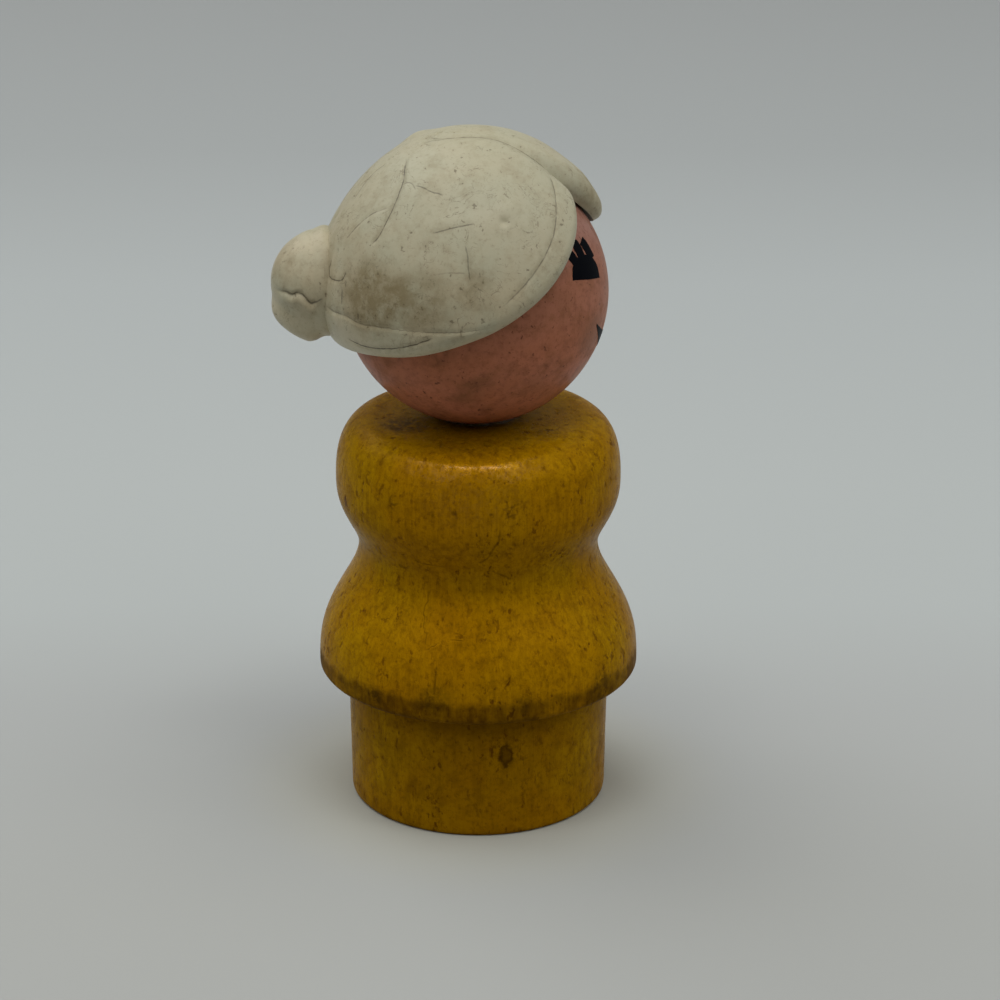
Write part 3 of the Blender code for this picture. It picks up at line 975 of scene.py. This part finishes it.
def eye_films(place):
    """The films of one eye: its dome and the three lashes over it."""
    tilt = math.radians(EYE_TILT)
    turning = np.array([
        [math.cos(tilt), math.sin(tilt)], [-math.sin(tilt), math.cos(tilt)]])
    angle = np.linspace(0.04, math.pi - 0.04, 57)
    x = -EYE_HALF_WIDTH * np.cos(angle)
    top = np.stack([x, EYE_HEIGHT * np.sin(angle) ** EYE_ROUNDNESS + EYE_FOOT], axis=-1) @ turning
    foot = np.stack([x, EYE_FOOT + 0 * x], axis=-1) @ turning
    films = [film(ragged(foot, 2), ragged(top, 3), place, PAINT_THICKNESS, rows=16)]
    for number, lash in enumerate(LASHES):
        steps = np.linspace(0, len(lash) - 1, 25)
        knots = np.arange(len(lash))
        x, y, half = (
            through_points(list(zip(knots, column)), steps) for column in zip(*lash))
        slope = np.stack([np.gradient(x), np.gradient(y)], axis=-1)
        aside = np.stack([-slope[:, 1], slope[:, 0]], axis=-1)
        aside *= (half / np.linalg.norm(slope, axis=1))[:, None]
        middle = np.stack([x, y], axis=-1)
        films.append(film(
            ragged(middle + aside, 20 + number), ragged(middle - aside, 30 + number),
            place, PAINT_THICKNESS + 0.004 * (number + 1)))
    return films


def smile_film():
    """The film of the crescent smile."""
    share = np.linspace(-1, 1, 81)
    turns = share * SMILE_HALF_TURN
    edges = [
        np.stack([turns, middle + (corner - middle) * share ** 2], axis=-1)
        for corner, middle in (SMILE_BOTTOM, SMILE_TOP)]
    per_degree = math.radians(BALL_RADIUS / MM)
    edges = [
        ragged(edge * per_degree, 40 + k) / per_degree for k, edge in enumerate(edges)]
    return film(*edges, lambda flat: (flat[:, 0], flat[:, 1]), PAINT_THICKNESS)


def join_films(name, films, material):
    """One piece of paint from several films."""
    points, faces, start = [], [], 0
    for film_points, film_faces in films:
        points.append(film_points)
        faces += [tuple(start + corner for corner in face) for face in film_faces]
        start += len(film_points)
    obj = add_mesh(name, np.concatenate(points) * MM, faces)
    face_outward(obj)
    obj.data.set_sharp_from_angle(angle=SHARP_ANGLE)
    dress(obj, "head", [], material)


def make_face(material):
    """Both eyes with their lashes, and the smile."""
    per_degree = math.radians(BALL_RADIUS / MM)
    per_turn = per_degree * math.cos(math.radians(EYE_LATITUDE))
    for side, name in ((-1, "right_eye"), (1, "left_eye")):
        def place(flat, side=side):
            return (
                side * (EYE_TURN - flat[:, 0] / per_turn),
                EYE_LATITUDE + flat[:, 1] / per_degree)
        join_films(name, eye_films(place), material)
    join_films("smile", [smile_film()], material)


# Materials

# Flaws of the finishes, in millimetres: a crack is its points and its half width, and a
# pit, smear, stain or patch of grime is its place, its size and its strength
BODY_CRACKS = (
    (((-12.13, -1.17, 28.83), (-12.00, -1.06, 27.74), (-11.76, -0.58, 26.87),
      (-11.25, 0.0, 25.74), (-11.04, 0.85, 25.41)), 0.09),
    (((-6.73, 3.45, 34.59), (-8.11, 3.64, 34.32)), 0.13),
    (((-9.92, 3.12, 33.43), (-10.40, 2.77, 33.09)), 0.12),
    (((-11.76, -1.52, 31.30), (-11.91, -1.91, 30.58), (-11.68, -2.77, 30.85)), 0.11),
    (((-12.03, -1.66, 30.11), (-11.94, -2.39, 29.66)), 0.12),
    (((-9.30, 7.52, 31.03), (-9.22, 7.86, 30.37), (-9.47, 7.62, 30.11),
      (-9.87, 7.04, 30.34)), 0.11),
    (((-7.58, 7.13, 23.99), (-8.00, 6.53, 23.74)), 0.14),
    (((-9.07, 5.97, 24.97), (-10.20, 3.27, 24.72)), 0.07),
    (((-10.62, -0.51, 24.54), (-10.04, -2.15, 23.46)), 0.08),
    (((-9.19, 4.47, 22.46), (-9.70, 5.01, 20.26), (-10.64, 4.92, 18.78),
      (-11.19, 4.83, 17.96)), 0.08),
    (((-11.37, 3.84, 18.29), (-11.34, 4.95, 17.61)), 0.08),
    (((-11.50, 2.86, 18.57), (-11.73, 1.90, 18.51)), 0.09),
    (((-12.13, 4.12, 16.72), (-12.69, 4.28, 15.08), (-12.85, 4.41, 14.08)), 0.12),
    (((-13.30, -1.25, 15.22), (-13.13, -1.88, 15.54), (-13.31, -1.75, 14.95)), 0.15),
    (((-8.41, -6.24, 21.35), (-8.70, -6.30, 20.6)), 0.12),
    (((-9.66, -7.31, 18.07), (-10.22, -7.53, 16.97)), 0.10),
    (((-3.36, -9.64, 22.72), (-3.16, -9.79, 22.08)), 0.12))
BODY_PITS = (
    ((-11.35, 4.39, 29.9), 0.42, 1.0), ((-11.85, 2.65, 30.2), 0.34, 1.0),
    ((-12.13, -0.45, 30.0), 0.30, 1.0), ((-9.10, -7.79, 30.9), 0.30, 1.0),
    ((-7.62, 6.9, 21.4), 0.40, 1.0), ((-10.9, 3.9, 27.4), 0.28, 1.0),
    ((-12.9, 1.4, 15.9), 0.25, 1.0))
BODY_SMEARS = (
    ((-2.6, 6.4, 34.6), 2.6, 0.75), ((-5.2, -5.6, 34.6), 1.6, 0.35),
    ((-9.97, 9.39, 12.9), 1.3, 0.8), ((-9.4, -10.0, 13.2), 1.8, 0.7),
    ((-12.4, 4.3, 13.6), 1.9, 0.6), ((-12.9, -3.0, 13.4), 1.4, 0.5))
KNOT_PLACE = (-11.1, -1.79, 7.6)
KNOT_SQUASH = 0.55
CRACK_WIDENING = 1.6
CRACK_STRENGTH = 0.8


def mark_body(body):
    """Keep the cracks of the body's paint on its points."""
    marks = [
        (curved(np.array(line)), CRACK_WIDENING * half_width, CRACK_STRENGTH)
        for line, half_width in BODY_CRACKS]
    store_marks(body, "crack", *mark_values(mesh_points(body), mesh_points(body, "normal"), marks))


def yellow_paint():
    """Gloss paint on turned wood: grain pulled through, grime in the pores and smears, and painted
    shadow under the hem.
    """
    f = Finish("body_paint", Specular_IOR_Level=0.01, Coat_Roughness=0.12)
    blotch = f.patches(0.38, 0.62, 0.16, 4.0)
    f.colour = f.blend(blotch, srgb(162, 116, 1), srgb(168, 126, 2))
    # The side of the body toward the camera is laid a redder tone
    middle = f.between(f.x, -6.5, -11.5)
    f.lay(middle * 0.5, 166, 112, 1)
    on_base = f.between(f.z, 12.0, 10.5)
    line_place = f.stretched(2.6, 2.6, 0.16)
    streaks = f.patches(0.44, 0.68, 1.0, 5.0, 0.62, line_place)
    fine_place = f.stretched(6.5, 6.5, 0.40)
    fine_streaks = f.patches(0.48, 0.68, 1.0, 3.0, 0.6, fine_place)
    grain = (streaks * (0.34 - on_base * 0.14)).most(fine_streaks * (0.26 - on_base * 0.10))
    f.lay(grain, 100, 66, 2)
    mottle = f.patches(0.42, 0.70, 0.9, 5.0, 0.65)
    f.lay(mottle * 0.42, 104, 66, 1)
    fine_mottle = f.patches(0.46, 0.70, 2.6, 4.0, 0.7)
    f.lay(fine_mottle * 0.42, 94, 57, 3)
    gathered = f.patches(0.38, 0.66, 0.30, 3.0)
    pore_place = f.stretched(1.0, 1.0, 0.6)
    pores = f.patches(0.595, 0.69, 1.7, 2.0, 0.6, pore_place)
    f.lay(pores * (0.22 + gathered * 0.5), 76, 38, 4)
    spots = f.patches(0.58, 0.70, 0.75, 4.0, 0.75, pore_place)
    f.lay(spots * (0.28 + gathered * 0.5), 78, 39, 4)
    base_blotch = f.patches(0.40, 0.66, 0.7, 4.0, 0.6, f.stretched(1.0, 1.0, 0.5))
    # Painted shadow on the base under the hem, strongest on the side toward the camera
    hem_shadow = f.between(f.z, 7.2, 11.2) * (0.2 + middle * 0.42)
    # The base is laid darker on its side toward the camera
    base_front_darkening = f.speck(-11.0, -0.5, 5.5, 10.0) * 0.2
    # The base's own blotches, with the painted shadow under the hem and the darker front
    base_dirt_and_shade = (base_blotch * 0.34).most(hem_shadow).most(base_front_darkening)
    f.lay(on_base * base_dirt_and_shade, 84, 52, 1)
    band_top = 12.7 + f.cloud(0.5, 4.0, 0.6, f.stretched(1.0, 1.0, 0.2)) * 1.7
    band = f.between(f.z, 10.8, 11.3) * f.between(f.z - band_top, 0.45, -0.45)
    broad = f.patches(0.36, 0.60, 0.24, 4.0, 0.6)
    ends = f.patches(0.32, 0.62, 1.0, 5.0, 0.65, f.stretched(1.3, 1.3, 0.5))
    f.lay(band * (0.16 + broad * 0.38 + ends * 0.24), 58, 34, 3)
    smudge = f.stains(BODY_SMEARS)
    rubbed = f.patches(0.30, 0.60, 1.5, 4.0, 0.65)
    f.lay(smudge.least(1.0) * rubbed, 60, 40, 5)
    cracks = f.marked("crack")
    pitted = f.stains(BODY_PITS)
    crumbled = f.patches(0.38, 0.56, 3.0, 3.0, 0.7)
    flaws = cracks.most(pitted * crumbled * 0.9)
    f.lay(flaws * 0.5, 66, 39, 2)
    far = f.make("VectorMath", {"operation": "DISTANCE"}, {
        0: f.stretched(1.0, 1.0, KNOT_SQUASH),
        1: (KNOT_PLACE[0], KNOT_PLACE[1], KNOT_PLACE[2] * KNOT_SQUASH)}, output="Value")
    knot_far = far + f.cloud(1.7, 4.0, 0.7) * 0.9 - 0.45
    knot = f.between(knot_far, 0.80, 0.45) * (0.6 + f.between(knot_far, 0.2, 0.5) * 0.3)
    f.lay(knot * 0.9, 56, 32, 2)
    fine = f.cloud(5.0, 3.0, 0.6)
    height = grain * -0.4 + pores * -0.7 + flaws * -1.0 + fine * 0.35 - fine_mottle * 0.2
    rough = 0.22 + mottle * 0.10 + pores * 0.2 + band * 0.2
    shine = f.speck(-9.2, 1.0, 33.6, 7.0) * f.patches(0.36, 0.60, 2.2, 4.0, 0.7)
    return f.show(
        Base_Color=f.colour, Roughness=rough, Metallic=0.06 + shine * 0.24,
        Coat_Weight=shine * 0.2, Normal=f.raise_by(height, 0.05, 0.6))


FACE_STAINS = (
    ((-5.9, -9.2, 43.6), 2.6, 0.45), ((-9.6, -4.6, 39.6), 2.2, 0.3),
    ((-10.6, 1.2, 39.4), 2.4, 0.3), ((-8.5, -6.4, 47.4), 1.6, 0.2))


def pink_paint():
    """Satin pink paint on the ball, with brown smudges and specks."""
    f = Finish("face_paint", Specular_IOR_Level=0.1)
    blotch = f.patches(0.35, 0.66, 0.20, 4.0)
    f.colour = f.blend(blotch, srgb(177, 109, 80), srgb(168, 102, 70))
    f.lay(f.between(f.z, 42.0, 48.0) * 0.7, 154, 103, 82)
    f.lay(f.between(f.z, 48.5, 52.5) * 0.9, 152, 111, 98)
    smudge = f.patches(0.46, 0.70, 0.42, 5.0, 0.65)
    stained = f.stains(FACE_STAINS)
    f.lay((smudge * 0.5 + stained).least(0.8), 112, 74, 44)
    mottle = f.patches(0.42, 0.70, 1.1, 5.0, 0.68)
    f.lay(mottle * 0.38, 108, 66, 46)
    speckle = f.patches(0.52, 0.72, 2.6, 4.0, 0.7)
    f.lay(speckle * 0.5, 104, 60, 42)
    specks = f.patches(0.65, 0.73, 1.9, 2.0, 0.6)
    f.lay(specks * 0.7, 74, 40, 28)
    fine = f.cloud(5.0, 3.0, 0.6)
    return f.show(
        Base_Color=f.colour, Roughness=0.38 + smudge * 0.2,
        Normal=f.raise_by(fine - specks * 0.6, 0.03, 0.5))


HAIR_GRIME = (
    ((-9.6, 9.6, 48.4), 4.4, 1.0), ((-11.8, 5.4, 48.6), 3.6, 0.7),
    ((-13.0, 1.0, 49.6), 2.0, 0.45), ((-6.4, 11.6, 52.6), 2.6, 0.35),
    ((-3.4, 16.8, 44.8), 1.6, 0.5), ((-2.8, 16.0, 49.6), 1.0, 0.5),
    ((10.6, 8.4, 48.0), 3.8, 0.6), ((0.0, -10.0, 54.3), 3.0, 0.5))


def hair_vinyl():
    """Off-white vinyl with grime and painted shade in its creases, smears, specks and fine
    scratches.
    """
    f = Finish("hair_vinyl", Specular_IOR_Level=0.25)
    held = f.make("Attribute", {"attribute_name": "dirt"}, output="Fac")
    high = f.between(f.z, 46.0, 57.0)
    blotch = f.patches(0.32, 0.66, 0.22, 4.0)
    f.colour = f.blend(
        blotch * (1 - high * 0.7), srgb(172, 168, 142), srgb(176, 164, 135))
    smear = f.patches(0.46, 0.72, 0.40, 5.0, 0.65)
    f.lay(smear * (0.55 - high * 0.2), 140, 127, 99)
    grime = f.stains(HAIR_GRIME)
    rubbed = f.patches(0.30, 0.62, 0.8, 5.0, 0.7)
    dirty = grime.least(1.0)
    f.lay(dirty * (0.35 + rubbed * 0.55), 126, 112, 79)
    f.lay(f.between(f.z, 47.0, 43.2) * 0.7, 198, 189, 160)
    mottle = f.patches(0.44, 0.72, 1.1, 5.0, 0.7)
    f.lay(mottle * (0.22 + dirty * 0.3), 132, 120, 88)
    speckle = f.patches(0.53, 0.74, 2.8, 4.0, 0.72)
    f.lay(speckle * (0.32 + dirty * 0.5), 108, 95, 68)
    specks = f.patches(0.665, 0.73, 1.6, 2.0, 0.6)
    f.lay(specks * 0.55, 84, 72, 50)
    thread = f.cloud(0.55, 3.0, 0.5, distortion=1.6)
    scratch = f.between((thread - 0.5).size(), 0.010, 0.003)
    patchy = f.patches(0.46, 0.62, 0.35, 3.0)
    f.lay(scratch * patchy * 0.5, 98, 86, 62)
    # A soft band of grime and painted crease shade beside the lines and under the bun's fold
    f.lay(held * 0.4 * rubbed, 112, 99, 70)
    # Dark lines along the pressed lines, the bun's fold and the parting: grime with painted crease
    # shade
    lines = f.marked("line").most(f.marked("branch"))
    f.lay(lines * 0.9, 58, 49, 33)
    fine = f.cloud(4.0, 4.0, 0.65)
    height = fine * 0.6 - scratch * patchy * 0.8 - specks * 0.6
    return f.show(
        Base_Color=f.colour, Roughness=0.42 + smear * 0.15 + dirty * 0.15,
        Normal=f.raise_by(height, 0.04, 0.5))


def black_paint():
    """Hand-laid black paint with a faint sheen."""
    f = Finish("face_black", Specular_IOR_Level=0.02)
    fine = f.cloud(5.0, 3.0)
    ink = f.blend(f.between(fine, 0.4, 0.8), srgb(2, 3, 8), srgb(6, 8, 12))
    return f.show(
        Base_Color=ink, Roughness=0.34 + fine * 0.15, Normal=f.raise_by(fine, 0.03, 0.5))


def pin_steel():
    """Drawn steel, lightly marked."""
    f = Finish("pin_steel", Metallic=1.0)
    fine = f.cloud(3.0, 3.0, 0.6, f.stretched(1.0, 1.0, 0.2))
    steel = f.blend(fine, srgb(150, 150, 150), srgb(190, 190, 188))
    return f.show(Base_Color=steel, Roughness=0.25 + fine * 0.2)


# The pieces

def build_pieces():
    """Every visible piece: the made ones on their bodies, and the imported pin in steel."""
    tree = turning_tree()
    yellow = yellow_paint()
    body = turn_profile("body_turning", tree, body_profile(), *BODY_TURNING, yellow)
    mark_body(body)
    dress(body, "body", ["body"])
    pink = pink_paint()
    ball = turn_profile("head_ball", tree, ball_profile(), *BALL_TURNING, pink)
    ball.data.transform(Matrix.Translation(BALL_CENTRE))
    dress(ball, "head", ["head"])
    make_hair(hair_vinyl())
    make_face(black_paint())
    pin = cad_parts["neck_pin"]
    steel = pin_steel()
    for slot in pin.material_slots:
        slot.material = steel


# Camera, floor and light

FLOOR_RADIUS = 3.0
# The floor's tone by distance behind the figure: painted fall-off of the light over the paper
FLOOR_STOPS = (
    (0.0, srgb(160, 162, 159)), (0.19, srgb(164, 166, 162)), (0.29, srgb(168, 171, 169)),
    (0.35, srgb(172, 177, 175)), (0.43, srgb(172, 177, 175)), (0.60, srgb(168, 173, 172)),
    (0.75, srgb(158, 162, 161)), (1.0, srgb(153, 156, 155)))
BOUNCE_TINT_RADIUS = 24.0
FAR_FLOOR_FROM = 300.0
FAR_FLOOR_TO = 450.0
FAR_TONE = srgb(154, 157, 156)
FLOOR_STOPS_FROM = -100.0
FLOOR_STOPS_TO = 300.0
LAMP_DISTANCE = 0.8
LAMP_AIM_HEIGHT = 0.03
SOFT_LAMP_SIZE = (0.7, 0.7)
KEY_LAMP_SIZE = (0.5, 0.09)

# Soft lamps: degrees round from the camera toward the figure's face, degrees up, watts
SOFT_LAMPS = (
    (0, 90, 1.60), (50, 50, 1.74), (-50, 50, 1.40), (130, 50, 0.80), (-130, 50, 2.68),
    (90, 30, 1.02), (-90, 30, 0.54))
KEY_LAMP = (0, 73, 1.1)


def camera_side():
    """Unit vector from the figure's axis toward the camera, level with the floor."""
    away = math.radians(FACE_TURNED_AWAY)
    return Vector((-math.cos(away), math.sin(away), 0.0))


def place_camera():
    """The camera, aimed so that the figure's axis stands where the photograph has it."""
    toward = camera_side()
    place = toward * CAMERA_DISTANCE + Vector((0.0, 0.0, CAMERA_HEIGHT))
    swing = math.atan(CAMERA_AXIS_OFFSET_PIXELS / CAMERA_FOCAL_PIXELS)
    heading = math.atan2(-toward.y, -toward.x) - swing
    pitch = math.radians(CAMERA_PITCH)
    camera = bpy.data.cameras.new("camera")
    camera.sensor_width = SENSOR_MM
    camera.lens = CAMERA_FOCAL_PIXELS / IMAGE_PIXELS * SENSOR_MM
    camera.clip_start, camera.clip_end = CAMERA_SEES_FROM_TO
    obj = bpy.data.objects.new("camera", camera)
    turn = Matrix.Rotation(heading - math.pi / 2, 3, "Z")
    tip = Matrix.Rotation(math.pi / 2 - pitch, 3, "X")
    roll = Matrix.Rotation(math.radians(CAMERA_ROLL), 3, "Z")
    obj.matrix_world = Matrix.Translation(place) @ (turn @ tip @ roll).to_4x4()
    bpy.context.scene.collection.objects.link(obj)
    bpy.context.scene.camera = obj


def place_floor():
    """A pale floor whose tone, a painted fall-off of the light, fades away behind the figure and
    is even far away, with painted yellow bounce round the figure's foot.
    """
    floor = add_mesh("floor", [
        (-FLOOR_RADIUS, -FLOOR_RADIUS, 0), (FLOOR_RADIUS, -FLOOR_RADIUS, 0),
        (FLOOR_RADIUS, FLOOR_RADIUS, 0), (-FLOOR_RADIUS, FLOOR_RADIUS, 0)], [(0, 1, 2, 3)])
    f = Finish("floor_paper", Roughness=0.9)
    toward = camera_side()
    behind = f.x * -toward.x + f.y * -toward.y
    share = f.between(behind, FLOOR_STOPS_FROM, FLOOR_STOPS_TO, soft=False)
    paper = f.make("ValToRGB", {"stops": FLOOR_STOPS}, {0: share})
    aside = f.make("Math", {"operation": "SQRT"}, {0: f.x * f.x + f.y * f.y})
    # Painted yellow bounce light on the floor round the figure's foot
    bounce_tint = f.between(aside, BOUNCE_TINT_RADIUS, BASE_RADIUS / MM)
    paper = f.blend(bounce_tint * 0.8, paper, srgb(170, 170, 158))
    floor.data.materials.append(f.show(Base_Color=paper))
    rays = f.make("LightPath").socket.node.outputs
    seen = Link(f, rays["Is Camera Ray"]).most(Link(f, rays["Is Glossy Ray"]))
    seen = seen.most(Link(f, rays["Is Transmission Ray"]))
    even = f.make("Emission", None, {"Color": FAR_TONE})
    surface = f.make("MixShader", None, {
        0: f.between(aside, FAR_FLOOR_FROM, FAR_FLOOR_TO) * seen,
        1: Link(f, f.shader.outputs[0]), 2: even})
    f.feed(f.nodes["Material Output"].inputs["Surface"], surface)


def add_lamp(name, around, up, watts, size):
    """A soft lamp, as wide and high as size says, that faces the figure."""
    rise = math.radians(up)
    level = Matrix.Rotation(math.radians(around), 3, "Z") @ camera_side()
    toward = level * math.cos(rise) + Vector((0.0, 0.0, math.sin(rise)))
    lamp = bpy.data.lights.new(name, "AREA")
    lamp.shape = "RECTANGLE"
    lamp.size, lamp.size_y = size
    lamp.energy = watts
    obj = bpy.data.objects.new(name, lamp)
    obj.location = toward * LAMP_DISTANCE + Vector((0.0, 0.0, LAMP_AIM_HEIGHT))
    obj.rotation_euler = toward.to_track_quat("Z", "Y").to_euler()
    bpy.context.scene.collection.objects.link(obj)


def place_lights():
    """A ring of soft lamps over the figure and one narrow key lamp."""
    for number, (around, up, watts) in enumerate(SOFT_LAMPS):
        add_lamp(f"soft_lamp_{number}", around, up, watts, SOFT_LAMP_SIZE)
    add_lamp("key_lamp", *KEY_LAMP, KEY_LAMP_SIZE)


def place_surroundings():
    """The floor's far tone all round, seen and reflected, that lights nothing."""
    world = bpy.data.worlds.new("studio")
    world.use_nodes = True
    nodes, links = world.node_tree.nodes, world.node_tree.links
    rays = nodes.new("ShaderNodeLightPath").outputs
    seen = rays["Is Camera Ray"]
    for name in ("Is Glossy Ray", "Is Transmission Ray"):
        either = nodes.new("ShaderNodeMath")
        either.operation = "MAXIMUM"
        links.new(seen, either.inputs[0])
        links.new(rays[name], either.inputs[1])
        seen = either.outputs[0]
    background = nodes["Background"]
    background.inputs["Color"].default_value = FAR_TONE
    links.new(seen, background.inputs["Strength"])
    bpy.context.scene.world = world


build_pieces()
place_camera()
place_floor()
place_lights()
place_surroundings()
bpy.context.scene.view_settings.view_transform = "Standard"
